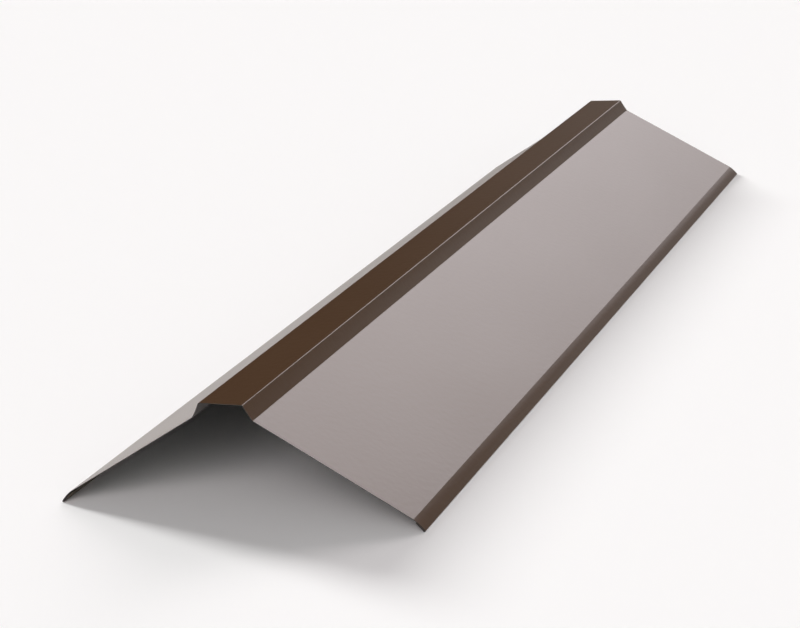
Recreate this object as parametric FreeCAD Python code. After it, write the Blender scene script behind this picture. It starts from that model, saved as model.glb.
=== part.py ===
import FreeCAD, Part
import math
import os

from FreeCAD import Vector

# Roof ridge cap: one strip of coated sheet steel, folded along its length.
#
# The section is the same from end to end. From the middle outwards, each half has half of a flat
# crown, a steep step down, a wide flange that lies on the roof slope, and a narrow lip that turns
# further down and ends in a teardrop hem, folded back under the lip. The two halves mirror each
# other.
#
# Lengths are in millimetres and angles in degrees. X runs across the ridge, Y along it, and Z is up.
# The origin is at the middle of the length and the width, level with the two hems, on which the
# cap stands.

# Stock and cut length
sheet_thickness = 0.5
piece_length = 1060.0

# Widths on the weather face, each between the sharp corners that it would have without fold radii
crown_width = 40.0
step_width = 15.0
flange_width = 150.0

# The lip, from its corner with the flange to the hem's outermost line
lip_width = 13.0

# Slopes below the horizontal, and the radius inside the folds between them
step_slope = 60.0
roof_slope = 30.0
lip_slope = 45.0
fold_inside_radius = 1.0

# The hem, from its outermost line to the cut edge, and the mouth left open at the cut edge
hem_return = 10.0
hem_inside_radius = 0.4
hem_mouth_gap = 0.2

# Turns between the slopes, up where positive and down where negative
crown_turn = -step_slope
foot_turn = step_slope - roof_slope
lip_turn = roof_slope - lip_slope
hem_outside_radius = hem_inside_radius + sheet_thickness


def direction(heading):
    """The unit vector in the section's plane at this angle above +X."""
    return Vector(math.cos(math.radians(heading)), 0, math.sin(math.radians(heading)))


class Trace:
    """One face of the folded sheet, traced from a point as straight and round edges."""

    def __init__(self, start):
        self.point = start
        self.heading = 0.0
        self.fold_centre = start
        self.edges = []

    def flat(self, length):
        end = self.point + direction(self.heading) * length
        self.edges.append(Part.makeLine(self.point, end))
        self.point = end

    def fold(self, turn, radius):
        outwards = self.heading - math.copysign(90, turn)
        self.fold_centre = self.point - direction(outwards) * radius
        middle = self.fold_centre + direction(outwards + turn / 2) * radius
        end = self.fold_centre + direction(outwards + turn) * radius
        self.edges.append(Part.Arc(self.point, middle, end).toShape())
        self.point = end
        self.heading += turn


def face_radius(turn, inside_radius, depth):
    """A fold's radius at this depth below the weather face, which is outside a downward fold."""
    if turn < 0:
        return inside_radius + sheet_thickness - depth
    return inside_radius + depth


def corner(turn):
    """How much of a flat's width on the weather face goes into the fold at its end."""
    radius = face_radius(turn, fold_inside_radius, 0)
    return radius * math.tan(math.radians(abs(turn)) / 2)


def hem_turn(return_flat):
    """Half a turn down, and what more brings the return's cut edge up to the mouth gap."""
    arm = math.hypot(hem_inside_radius, return_flat)
    parallel = math.atan2(return_flat, hem_inside_radius)
    closed = math.acos((hem_mouth_gap - hem_inside_radius) / arm)
    return -180 - math.degrees(closed - parallel)


def strip_from_crown():
    """The strip outwards from the crown: each fold's turn and radius, and the flat after it."""
    step_flat = step_width - corner(crown_turn) - corner(foot_turn)
    flange_flat = flange_width - corner(foot_turn) - corner(lip_turn)
    lip_flat = lip_width - corner(lip_turn) - hem_outside_radius
    return_flat = hem_return - hem_outside_radius
    return [
        (crown_turn, fold_inside_radius, step_flat),
        (foot_turn, fold_inside_radius, flange_flat),
        (lip_turn, fold_inside_radius, lip_flat),
        (hem_turn(return_flat), hem_inside_radius, return_flat),
    ]


def trace_half(height, depth):
    """The right half of the face at this depth below a crown of this height, out to its cut edge."""
    crown_edge = crown_width / 2 - corner(crown_turn)
    trace = Trace(Vector(crown_edge, 0, height - depth))
    for turn, inside_radius, flat_length in strip_from_crown():
        trace.fold(turn, face_radius(turn, inside_radius, depth))
        trace.flat(flat_length)
    return trace


def crown_height():
    """The crown's height above the lowest line of the hems, which is straight under their folds."""
    hem_centre = trace_half(0, 0).fold_centre
    return hem_outside_radius - hem_centre.z


def section():
    """The sheet cut across: the right half's outline, its mirror image, and the crown between."""
    weather_face = trace_half(crown_height(), 0)
    underside = trace_half(crown_height(), sheet_thickness)
    cut_edge = Part.makeLine(weather_face.point, underside.point)
    right = weather_face.edges + [cut_edge] + underside.edges[::-1]
    left = [edge.mirror(Vector(0, 0, 0), Vector(1, 0, 0)) for edge in right]
    crown_top = Part.makeLine(left[0].firstVertex().Point, right[0].firstVertex().Point)
    crown_bottom = Part.makeLine(right[-1].firstVertex().Point, left[-1].firstVertex().Point)
    return Part.Face(Part.Wire([crown_top] + right + [crown_bottom] + left[::-1]))


def ridge_cap():
    """The section carried along the ridge."""
    near_end = section().translated(Vector(0, -piece_length / 2, 0))
    return near_end.extrude(Vector(0, piece_length, 0))


os.makedirs("parts", exist_ok=True)
ridge_cap().exportStep("parts/ridge_cap.step")
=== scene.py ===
import math

import bpy
import numpy as np
from bpy.props import FloatProperty, FloatVectorProperty, PointerProperty
from mathutils import Matrix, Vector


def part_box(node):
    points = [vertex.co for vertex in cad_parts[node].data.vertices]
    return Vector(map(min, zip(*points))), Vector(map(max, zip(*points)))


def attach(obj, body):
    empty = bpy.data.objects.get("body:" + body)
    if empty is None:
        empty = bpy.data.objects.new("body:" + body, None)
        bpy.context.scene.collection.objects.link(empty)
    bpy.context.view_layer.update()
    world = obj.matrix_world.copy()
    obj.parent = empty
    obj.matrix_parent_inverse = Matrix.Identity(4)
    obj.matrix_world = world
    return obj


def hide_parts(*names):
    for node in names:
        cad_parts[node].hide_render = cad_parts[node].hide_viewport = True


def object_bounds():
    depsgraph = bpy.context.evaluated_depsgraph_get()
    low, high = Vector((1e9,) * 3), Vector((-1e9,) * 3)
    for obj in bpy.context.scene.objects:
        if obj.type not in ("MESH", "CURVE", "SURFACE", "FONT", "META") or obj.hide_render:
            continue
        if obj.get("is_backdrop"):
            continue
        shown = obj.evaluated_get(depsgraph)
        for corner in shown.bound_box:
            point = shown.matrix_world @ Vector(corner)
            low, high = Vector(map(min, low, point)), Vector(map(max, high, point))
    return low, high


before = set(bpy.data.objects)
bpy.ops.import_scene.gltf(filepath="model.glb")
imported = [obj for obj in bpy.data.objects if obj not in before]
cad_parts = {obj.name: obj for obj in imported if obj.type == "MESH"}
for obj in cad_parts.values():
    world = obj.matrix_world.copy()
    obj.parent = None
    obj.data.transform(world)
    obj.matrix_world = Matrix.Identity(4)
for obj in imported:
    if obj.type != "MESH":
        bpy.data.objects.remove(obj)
cad_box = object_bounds()

bl_info = {
    "name": "Roof Ridge Cap",
    "version": (1, 0, 0),
    "blender": (4, 5, 0),
    "location": "View3D > Sidebar > Ridge Cap",
    "description": "Folds a coated steel ridge cap from its section and sets it on a studio floor",
    "category": "Object",
}

# The one node of the imported model, and the body that carries it
CAD_NODE = "ridge_cap"
BODY = "root"

MM = 0.001
cap_low, cap_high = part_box(CAD_NODE)

# How finely the sheet is divided: round its folds, across its flats, and along the ridge
FOLD_STEP = math.radians(6)
FLAT_STEP = 6 * MM
LENGTH_STEP = 12 * MM
# The narrow flats still get this many spans, so that their bows are round
FEWEST_SPANS = 4
# Rows this close to a fold keep its shading off the flats
FOLD_MARGIN = 0.2 * MM
# Edges that turn more than this between two faces stay crisp
CRISP_EDGE = math.radians(40)
# The finishes, in the order of the sheet's material slots
WEATHER, BACK, CUT = 0, 1, 2

# Thin flats of rolled sheet stand off true in long waves along the ridge. A shift is in radians,
# one way on the right and the other way on the left, so that the two sides differ.
LONG_WAVE = 420 * MM
LONG_SHIFT = 1
SHORT_WAVE = 230 * MM
SHORT_SHIFT = -2

# The coats cloud over about a hand's width, by a few percent in depth of colour
CLOUD_SIZE = 120 * MM
CLOUD_DETAIL = 2.0
WEATHER_TINT = (0.96, 1.04)
BACK_TINT = (0.95, 1.05)
# The weather face has a half gloss that clouds a little too, and the underside has hardly any
WEATHER_ROUGHNESS = (0.275, 0.30)
BACK_ROUGHNESS = 0.55
# Typical of cured paint resins
PAINT_IOR = 1.5
# Orange peel on rolled paint is 2 or 3 mm across and a few microns deep. That is too fine to show
# from the camera, so it is drawn coarser and deeper.
PEEL_SIZE = 6 * MM
PEEL_HEIGHT = 0.1 * MM
PEEL_DETAIL = 1.0
# A shear scores the cut edge in lines a few tenths of a millimetre apart
SCORE_SIZE = 0.4 * MM
SCORE_ROUGHNESS = (0.35, 0.55)

# The studio's lit areas, each with its colour and its bounds. A bound is a part of the direction
# looked in (X across the ridge, Y along it and Z up), and where along that part the area begins
# and where it is full.
STUDIO_AREAS = {
    "dome": ("#FFFFFF", (("Z", 0.62, 0.87),)),
    "window": ("#FFF8FA", (
        ("X", -0.19, -0.07), ("X", 0.295, 0.175), ("Z", 0.07, 0.62), ("Z", 0.87, 0.67))),
    "right_wall": ("#FFFFFF", (("X", -0.42, 0.35),)),
    "left_wall": ("#FFFFFF", (("X", 0.35, -0.42), ("Y", 0.86, 0.95))),
    "near_wall": ("#FFFFFF", (("X", 0.00, 0.60), ("Y", -0.10, -0.70))),
    "low_panel": ("#FFFFFF", (
        ("X", 0.31, 0.39), ("Y", 0.80, 0.95), ("Z", 0.10, 0.24), ("Z", 0.36, 0.28))),
}

# The key lamp shines along +Y turned left by its azimuth, and down by its elevation. The width of
# its disc softens the shadow.
KEY_AZIMUTH = math.radians(-118)
KEY_ELEVATION = math.radians(25)
KEY_DISC = math.radians(14)

# The floor ends this far away on each side
FLOOR_REACH = 40.0

# The camera looks along +Y turned left by its azimuth and down by its elevation, and then rolls
# about its own axis. It sees as far as the floor's corners and beyond.
CAMERA_PLACE = (0.71619, -1.73118, 0.61095)
CAMERA_AZIMUTH = math.radians(24.654)
CAMERA_ELEVATION = math.radians(18.103)
CAMERA_ROLL = math.radians(-6.242)
CAMERA_REACH = 100.0


def linear(hex_colour):
    """A colour written as sRGB hex, as linear red, green and blue by the sRGB curve."""
    srgb = [int(hex_colour[i:i + 2], 16) / 255 for i in (1, 3, 5)]
    return tuple(c / 12.92 if c <= 0.04045 else ((c + 0.055) / 1.055) ** 2.4 for c in srgb)


def opaque(colour):
    """Red, green and blue with an alpha of 1, as colour sockets take them."""
    return (*colour, 1)


class SheetSettings(bpy.types.PropertyGroup):
    """Sizes of the folded sheet, measured on its weather face."""

    thickness: FloatProperty(
        name="Thickness", description="Gauge of the steel", default=0.5 * MM, unit="LENGTH")
    length: FloatProperty(
        name="Length", description="Cut length along the ridge",
        default=cap_high.y - cap_low.y, unit="LENGTH")
    crown_width: FloatProperty(
        name="Crown", description="Width of the flat crown", default=40 * MM, unit="LENGTH")
    step_width: FloatProperty(
        name="Step", description="Width of the step on each side of the crown",
        default=15 * MM, unit="LENGTH")
    flange_width: FloatProperty(
        name="Flange", description="Width of each flange", default=150 * MM, unit="LENGTH")
    lip_width: FloatProperty(
        name="Lip", description="Width of each lip, to the outermost line of its hem",
        default=13 * MM, unit="LENGTH")
    step_slope: FloatProperty(
        name="Step slope", description="Slope of the steps below the horizontal",
        default=math.radians(60), unit="ROTATION")
    roof_slope: FloatProperty(
        name="Roof slope", description="Slope of the flanges below the horizontal",
        default=math.radians(30), unit="ROTATION")
    lip_slope: FloatProperty(
        name="Lip slope", description="Slope of the lips below the horizontal",
        default=math.radians(45), unit="ROTATION")
    fold_radius: FloatProperty(
        name="Fold radius", description="Radius inside the folds between flats",
        default=1 * MM, unit="LENGTH")
    hem_return: FloatProperty(
        name="Hem return", description="From the hem's outermost line to the cut edge",
        default=10 * MM, unit="LENGTH")
    hem_radius: FloatProperty(
        name="Hem radius", description="Radius inside the hem", default=0.4 * MM, unit="LENGTH")
    hem_mouth: FloatProperty(
        name="Hem mouth", description="Gap left open at the hem's cut edge",
        default=0.2 * MM, unit="LENGTH")
    step_dish: FloatProperty(
        name="Step dish", description="How far the middles of the steps stand in",
        default=0.3 * MM, unit="LENGTH")
    lip_bulge: FloatProperty(
        name="Lip bulge", description="How far the middles of the lips stand out",
        default=0.35 * MM, unit="LENGTH")
    unevenness: FloatProperty(
        name="Unevenness", description="How far the thin flats stand off true at most",
        default=0.25 * MM, unit="LENGTH")


class CoatingSettings(bpy.types.PropertyGroup):
    """Colours of the sheet's two coats and its cut edges."""

    weather_colour: FloatVectorProperty(
        name="Weather face", description="Polyester coat on the weather face", subtype="COLOR",
        default=linear("#4D3622"))
    # The back coat's grey is set darker than the real coat: painted shade for the underside beneath
    # the cap
    back_colour_and_painted_shade: FloatVectorProperty(
        name="Underside", description="Epoxy back coat on the underside", subtype="COLOR",
        default=linear("#5E5A57"))
    # The cut edges' dark grey is partly dull sheared steel and partly painted shade and painted
    # dark reflection
    edge_colour_and_painted_shade: FloatVectorProperty(
        name="Cut edges", description="Galvanised steel where the sheet is cut", subtype="COLOR",
        default=linear("#4E4C4A"))


class StageSettings(bpy.types.PropertyGroup):
    """The floor, the light and the camera."""

    floor_colour: FloatVectorProperty(
        name="Floor", description="Colour of the studio floor", subtype="COLOR",
        default=linear("#F7F7F6"))
    dome: FloatProperty(
        name="Dome", description="Radiance of the soft light overhead", default=0.08)
    window: FloatProperty(
        name="Windows", description="Radiance of the soft window beyond each end of the ridge",
        default=5.1)
    right_wall: FloatProperty(
        name="Right wall", description="Radiance of the wall on the right", default=0.22)
    near_wall: FloatProperty(
        name="Near wall", description="Radiance added to the near end of the wall on the right",
        default=1.4)
    left_wall: FloatProperty(
        name="Left wall", description="Radiance of the far end of the wall on the left",
        default=0.18)
    low_panel: FloatProperty(
        name="Low panel", description="Radiance of the panel low on the right beyond the far end",
        default=1.3)
    key: FloatProperty(
        name="Key", description="Strength of the sun lamp that shapes the shadow", default=3.15)
    lens: FloatProperty(
        name="Lens", description="Focal length for a sensor 36 mm wide", default=83.95,
        unit="CAMERA")


def folds_from_crown(sheet):
    """Each fold from the crown outwards: its turn, its radius, and the next flat's length and bow.

    The radius is the weather face's. A fold down has that face outside it and a fold up has it
    inside. A flat is its width less radius times tan(turn / 2) for the fold at each end, or less
    the hem's outer radius. Its bow is how far its middle stands out. The hem turns half round, and
    by as much more as closes its return from the fold to the mouth.
    """
    def weather_radius(turn):
        return sheet.fold_radius + (sheet.thickness if turn < 0 else 0)

    def corner(turn):
        return weather_radius(turn) * math.tan(abs(turn) / 2)

    crown_turn = -sheet.step_slope
    foot_turn = sheet.step_slope - sheet.roof_slope
    lip_turn = sheet.roof_slope - sheet.lip_slope
    hem_outside = sheet.hem_radius + sheet.thickness
    return_flat = sheet.hem_return - hem_outside
    arm = math.hypot(sheet.hem_radius, return_flat)
    closing = math.acos((sheet.hem_mouth - sheet.hem_radius) / arm)
    closing -= math.atan2(return_flat, sheet.hem_radius)
    folds = (
        (0, sheet.crown_width / 2, 0),
        (crown_turn, sheet.step_width - corner(crown_turn), -sheet.step_dish),
        (foot_turn, sheet.flange_width - corner(foot_turn), 0),
        (lip_turn, sheet.lip_width - corner(lip_turn) - hem_outside, sheet.lip_bulge),
    )
    next_turns = (crown_turn, foot_turn, lip_turn, 0)
    strip = [(turn, weather_radius(turn), width - corner(next_turn), bow)
             for (turn, width, bow), next_turn in zip(folds, next_turns)]
    return strip + [(-math.pi - closing, hem_outside, return_flat, 0)]


def flat_stations(length):
    """Even distances along a flat, from close to one end to close to the other, and both ends."""
    count = max(FEWEST_SPANS, round(length / FLAT_STEP))
    between = np.linspace(FOLD_MARGIN, length - FOLD_MARGIN, count + 1)
    return np.concatenate([[0], between, [length]])


def section(sheet):
    """The weather face in the section, from the left cut edge to the right one.

    Its rows are x, z, the outward normal's x and z, and looseness. The strip is walked outwards
    from the crown's middle in short steps. Each step is a chord: a piece of a flat, or twice the
    radius times the sine of half the turn. It heads halfway between the headings before and after
    it, so that x and z are running sums of the chords' parts, and the normal is the heading turned
    a quarter left. A flat's bow is a parabola along the normal: four times the bow, times the share
    of its width, times the rest. Looseness is how far a flat may stand off true: its width over
    the flange's, times the sine of pi times that share, all squared. The left half is the mirror
    image.
    """
    rows = [np.zeros((4, 1))]
    for turn, radius, flat, bow in folds_from_crown(sheet):
        steps = math.ceil(abs(turn) / FOLD_STEP)
        bend = np.full(steps, turn / max(steps, 1))
        still = np.zeros(steps)
        rows.append(np.stack([bend, 2 * radius * np.sin(np.abs(bend) / 2), still, still]))
        stations = flat_stations(flat)
        share = stations[1:] / flat
        loose = (flat / sheet.flange_width * np.sin(math.pi * share)) ** 2
        rows.append(np.stack([0 * share, np.diff(stations), 4 * bow * share * (1 - share), loose]))
    turns, chords, bows, looseness = np.concatenate(rows, axis=1)
    heading = np.cumsum(turns)
    normal_x, normal_z = -np.sin(heading), np.cos(heading)
    x = np.cumsum(chords * np.cos(heading - turns / 2)) + normal_x * bows
    z = np.cumsum(chords * np.sin(heading - turns / 2)) + normal_z * bows
    right = np.stack([x, z - z.min(), normal_x, normal_z, looseness])
    mirror = np.array([[-1], [1], [-1], [1], [1]])
    return np.concatenate([mirror * right[:, :0:-1], right], axis=1)


def sheet_grid(sheet):
    """The sheet's surface on a grid: once round the section, and along the ridge.

    A point is its place in the section, less the depth below the weather face times the normal,
    plus the wave times the normal. The wave is the unevenness, times looseness, times the mean of
    two sines of y, each shifted one way on the right and the other way on the left. The grid goes
    out over the weather face and back over the underside.
    """
    x, z, normal_x, normal_z, looseness = (row[:, None] for row in section(sheet))
    y = np.linspace(-sheet.length / 2, sheet.length / 2, round(sheet.length / LENGTH_STEP) + 1)
    side = np.sign(x)
    long_wave = np.sin(2 * math.pi * y / LONG_WAVE + LONG_SHIFT * side)
    short_wave = np.sin(2 * math.pi * y / SHORT_WAVE + SHORT_SHIFT * side)
    wave = sheet.unevenness * looseness * (long_wave + short_wave) / 2
    faces = []
    for depth in (0, sheet.thickness):
        offset = wave - depth
        place = [x + normal_x * offset, y + 0 * offset, z + normal_z * offset]
        faces.append(np.stack(place, axis=-1))
    return np.concatenate([faces[0], faces[1][::-1]])


def sheet_faces(ring, rows):
    """The quads between neighbours on a ring-by-rows grid, and across the sheet at both ends.

    Returns the quads and the finish of each: the first half of the ring is the weather face, the
    second half the underside, and what joins them is a cut edge.
    """
    here = np.arange(ring)[:, None] * rows + np.arange(rows - 1)
    beside = (np.arange(ring)[:, None] + 1) % ring * rows + np.arange(rows - 1)
    around = np.stack([here, beside, beside + 1, here + 1], axis=-1).reshape(-1, 4)
    finish = np.full(ring, BACK)
    finish[:ring // 2] = WEATHER
    finish[[ring // 2 - 1, ring - 1]] = CUT
    upper = np.arange(ring // 2 - 1) * rows
    lower = (ring - 1 - np.arange(ring // 2 - 1)) * rows
    far_end = np.stack([upper, upper + rows, lower - rows, lower], axis=-1) + rows - 1
    near_end = far_end[:, ::-1] - rows + 1
    quads = np.concatenate([around, far_end, near_end])
    cuts = np.full(len(far_end) + len(near_end), CUT)
    return quads, np.concatenate([np.repeat(finish, rows - 1), cuts])


def add(tree, kind, settings=None, sockets=None):
    """Adds a node with its settings. Each named socket gets a value or the output that feeds it."""
    node = tree.nodes.new(kind)
    for name, value in (settings or {}).items():
        setattr(node, name, value)
    for name, value in (sockets or {}).items():
        if isinstance(value, bpy.types.NodeSocket):
            tree.links.new(value, node.inputs[name])
        else:
            node.inputs[name].default_value = value
    return node


def new_material(name, colour):
    """An empty material with its colour for solid views, and its node tree."""
    material = bpy.data.materials.new(name)
    material.use_nodes = True
    material.diffuse_color = opaque(colour)
    material.node_tree.nodes.clear()
    return material, material.node_tree


def baked_polyester(colour):
    """Polyester paint, rolled onto galvanised coil and baked.

    It gives the eye an even, closed colour under a half gloss, with slight clouding of both from
    one hand's width to the next, and the faint orange peel of a rolled coat.
    """
    material, tree = new_material("baked_polyester_brown", colour)
    place = add(tree, "ShaderNodeTexCoord").outputs["Object"]
    clouds = add(tree, "ShaderNodeTexNoise", sockets={
        "Vector": place, "Scale": 1 / CLOUD_SIZE, "Detail": CLOUD_DETAIL})
    tint = add(tree, "ShaderNodeMapRange", sockets={
        "Value": clouds.outputs["Fac"], "To Min": WEATHER_TINT[0], "To Max": WEATHER_TINT[1]})
    shade = add(tree, "ShaderNodeHueSaturation", sockets={
        "Value": tint.outputs["Result"], "Color": opaque(colour)})
    gloss = add(tree, "ShaderNodeMapRange", sockets={
        "Value": clouds.outputs["Fac"],
        "To Min": WEATHER_ROUGHNESS[0], "To Max": WEATHER_ROUGHNESS[1]})
    peel = add(tree, "ShaderNodeTexNoise", sockets={
        "Vector": place, "Scale": 1 / PEEL_SIZE, "Detail": PEEL_DETAIL})
    bump = add(tree, "ShaderNodeBump", sockets={
        "Strength": 1.0, "Distance": PEEL_HEIGHT, "Height": peel.outputs["Fac"]})
    paint = add(tree, "ShaderNodeBsdfPrincipled", sockets={
        "Base Color": shade.outputs["Color"], "Roughness": gloss.outputs["Result"],
        "IOR": PAINT_IOR, "Normal": bump.outputs["Normal"]})
    add(tree, "ShaderNodeOutputMaterial", sockets={"Surface": paint.outputs["BSDF"]})
    return material


def back_coat_with_painted_shade(colour):
    """Thin epoxy back coat, rolled over the primer on the side that the weather doesn't reach.

    It gives the eye a flat grey with little gloss, darker than the real coat's grey as painted
    shade for the underside beneath the cap.
    """
    material, tree = new_material("epoxy_back_coat_painted_shade", colour)
    place = add(tree, "ShaderNodeTexCoord").outputs["Object"]
    clouds = add(tree, "ShaderNodeTexNoise", sockets={
        "Vector": place, "Scale": 1 / CLOUD_SIZE, "Detail": CLOUD_DETAIL})
    tint = add(tree, "ShaderNodeMapRange", sockets={
        "Value": clouds.outputs["Fac"], "To Min": BACK_TINT[0], "To Max": BACK_TINT[1]})
    shade = add(tree, "ShaderNodeHueSaturation", sockets={
        "Value": tint.outputs["Result"], "Color": opaque(colour)})
    paint = add(tree, "ShaderNodeBsdfPrincipled", sockets={
        "Base Color": shade.outputs["Color"], "Roughness": BACK_ROUGHNESS, "IOR": PAINT_IOR})
    add(tree, "ShaderNodeOutputMaterial", sockets={"Surface": paint.outputs["BSDF"]})
    return material


def cut_edge_with_painted_shade(colour):
    """Galvanised steel where the sheet was sheared.

    It gives the eye bare metal, dulled by the shear's fine scoring, in a dark grey that is partly
    dull steel and partly painted shade and painted dark reflection on the cut edges.
    """
    material, tree = new_material("sheared_edge_painted_shade", colour)
    place = add(tree, "ShaderNodeTexCoord").outputs["Object"]
    scoring = add(tree, "ShaderNodeTexNoise", sockets={"Vector": place, "Scale": 1 / SCORE_SIZE})
    gloss = add(tree, "ShaderNodeMapRange", sockets={
        "Value": scoring.outputs["Fac"],
        "To Min": SCORE_ROUGHNESS[0], "To Max": SCORE_ROUGHNESS[1]})
    metal = add(tree, "ShaderNodeBsdfPrincipled", sockets={
        "Base Color": opaque(colour), "Metallic": 1.0, "Roughness": gloss.outputs["Result"]})
    add(tree, "ShaderNodeOutputMaterial", sockets={"Surface": metal.outputs["BSDF"]})
    return material


def matt_floor(colour):
    """Matt studio paint: pale and even, so that only the shadow shows on it."""
    material, tree = new_material("matt_studio_paint", colour)
    paint = add(tree, "ShaderNodeBsdfDiffuse", sockets={"Color": opaque(colour)})
    add(tree, "ShaderNodeOutputMaterial", sockets={"Surface": paint.outputs["BSDF"]})
    return material


def new_object(name, vertices, quads):
    """A mesh object at the origin, unturned and unscaled, with its place in its mesh."""
    mesh = bpy.data.meshes.new(name)
    mesh.from_pydata(vertices.reshape(-1, 3).tolist(), [], quads.tolist())
    piece = bpy.data.objects.new(name, mesh)
    bpy.context.scene.collection.objects.link(piece)
    return piece


def studio_world(stage):
    """Soft light from all round, as a picture of the studio that depends on direction alone.

    The picture is the sum of the lit areas. An area's radiance is its strength times a smooth step
    for each of its bounds, from none where it begins to one where it is full. A step's highest
    result is the product of those before it, so that the last gives the product of all.
    """
    world = bpy.data.worlds.new("studio")
    world.use_nodes = True
    tree = world.node_tree
    tree.nodes.clear()
    direction = add(tree, "ShaderNodeTexCoord").outputs["Generated"]
    part = add(tree, "ShaderNodeSeparateXYZ", sockets={"Vector": direction}).outputs
    studio = add(tree, "ShaderNodeBackground", sockets={"Strength": 0.0})
    for name, (colour, bounds) in STUDIO_AREAS.items():
        radiance = getattr(stage, name)
        for axis, begins, full in bounds:
            step = add(tree, "ShaderNodeMapRange", {"interpolation_type": "SMOOTHSTEP"}, {
                "Value": part[axis], "From Min": begins, "From Max": full, "To Max": radiance})
            radiance = step.outputs["Result"]
        area = add(tree, "ShaderNodeBackground", sockets={
            "Color": opaque(linear(colour)), "Strength": radiance})
        studio = add(tree, "ShaderNodeAddShader", sockets={
            0: studio.outputs[0], 1: area.outputs[0]})
    add(tree, "ShaderNodeOutputWorld", sockets={"Surface": studio.outputs[0]})
    bpy.context.scene.world = world


def key_lamp(stage):
    """A sun lamp with a wide disc, whose soft shadow falls to the right of the cap."""
    lamp = bpy.data.lights.new("key", "SUN")
    lamp.energy = stage.key
    lamp.angle = KEY_DISC
    sun = bpy.data.objects.new("key", lamp)
    tilt = Matrix.Rotation(math.pi / 2 - KEY_ELEVATION, 4, "X")
    sun.matrix_world = Matrix.Rotation(KEY_AZIMUTH, 4, "Z") @ tilt
    bpy.context.scene.collection.objects.link(sun)


def photo_camera(stage):
    """The camera where the photograph was taken from."""
    camera = bpy.data.cameras.new("photo_view")
    camera.lens = stage.lens
    camera.sensor_fit = "HORIZONTAL"
    camera.clip_end = CAMERA_REACH
    holder = bpy.data.objects.new("photo_view", camera)
    turn = Matrix.Rotation(CAMERA_AZIMUTH, 4, "Z")
    turn = turn @ Matrix.Rotation(math.pi / 2 - CAMERA_ELEVATION, 4, "X")
    turn = turn @ Matrix.Rotation(CAMERA_ROLL, 4, "Z")
    holder.matrix_world = Matrix.Translation(CAMERA_PLACE) @ turn
    bpy.context.scene.collection.objects.link(holder)
    bpy.context.scene.camera = holder


class FoldSheet(bpy.types.Operator):
    """Fold the ridge cap from one strip of coated steel and finish its faces and cut edges"""

    bl_idname = "ridge_cap.fold_sheet"
    bl_label = "Fold Sheet"

    def execute(self, context):
        sheet = context.scene.ridge_cap_sheet
        coating = context.scene.ridge_cap_coating
        grid = sheet_grid(sheet)
        quads, finish = sheet_faces(*grid.shape[:2])
        piece = new_object("ridge_cap_sheet", grid, quads)
        mesh = piece.data
        mesh.materials.append(baked_polyester(coating.weather_colour))
        mesh.materials.append(back_coat_with_painted_shade(coating.back_colour_and_painted_shade))
        mesh.materials.append(cut_edge_with_painted_shade(coating.edge_colour_and_painted_shade))
        mesh.polygons.foreach_set("material_index", finish)
        mesh.shade_smooth()
        mesh.set_sharp_from_angle(angle=CRISP_EDGE)
        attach(piece, BODY)
        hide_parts(CAD_NODE)
        return {"FINISHED"}


class SetStage(bpy.types.Operator):
    """Lay the studio floor, light the cap and place the camera"""

    bl_idname = "ridge_cap.set_stage"
    bl_label = "Set Stage"

    def execute(self, context):
        stage = context.scene.ridge_cap_stage
        corners = FLOOR_REACH * np.array([[-1, -1, 0], [1, -1, 0], [1, 1, 0], [-1, 1, 0]])
        floor = new_object("studio_floor", corners, np.arange(4)[None])
        floor.data.materials.append(matt_floor(stage.floor_colour))
        floor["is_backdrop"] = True
        studio_world(stage)
        key_lamp(stage)
        photo_camera(stage)
        context.scene.view_settings.view_transform = "Standard"
        return {"FINISHED"}


class RidgeCapPanel(bpy.types.Panel):
    """Sizes, colours and steps of the ridge cap"""

    bl_idname = "VIEW3D_PT_ridge_cap"
    bl_label = "Ridge Cap"
    bl_space_type = "VIEW_3D"
    bl_region_type = "UI"
    bl_category = "Ridge Cap"

    def draw(self, context):
        scene = context.scene
        for settings in (scene.ridge_cap_sheet, scene.ridge_cap_coating):
            for name in settings.__annotations__:
                self.layout.prop(settings, name)
        self.layout.operator(FoldSheet.bl_idname)
        for name in scene.ridge_cap_stage.__annotations__:
            self.layout.prop(scene.ridge_cap_stage, name)
        self.layout.operator(SetStage.bl_idname)


CLASSES = (SheetSettings, CoatingSettings, StageSettings, FoldSheet, SetStage, RidgeCapPanel)


def register():
    for item in CLASSES:
        bpy.utils.register_class(item)
    bpy.types.Scene.ridge_cap_sheet = PointerProperty(type=SheetSettings)
    bpy.types.Scene.ridge_cap_coating = PointerProperty(type=CoatingSettings)
    bpy.types.Scene.ridge_cap_stage = PointerProperty(type=StageSettings)


def unregister():
    del bpy.types.Scene.ridge_cap_stage
    del bpy.types.Scene.ridge_cap_coating
    del bpy.types.Scene.ridge_cap_sheet
    for item in reversed(CLASSES):
        bpy.utils.unregister_class(item)


def main():
    """Makes the cap and its stage."""
    register()
    bpy.ops.ridge_cap.fold_sheet()
    bpy.ops.ridge_cap.set_stage()
    boxes = {"cad": cad_box, "visual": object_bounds()}
    boxes = {name: [list(corner) for corner in box] for name, box in boxes.items()}


if __name__ == "__main__":
    main()
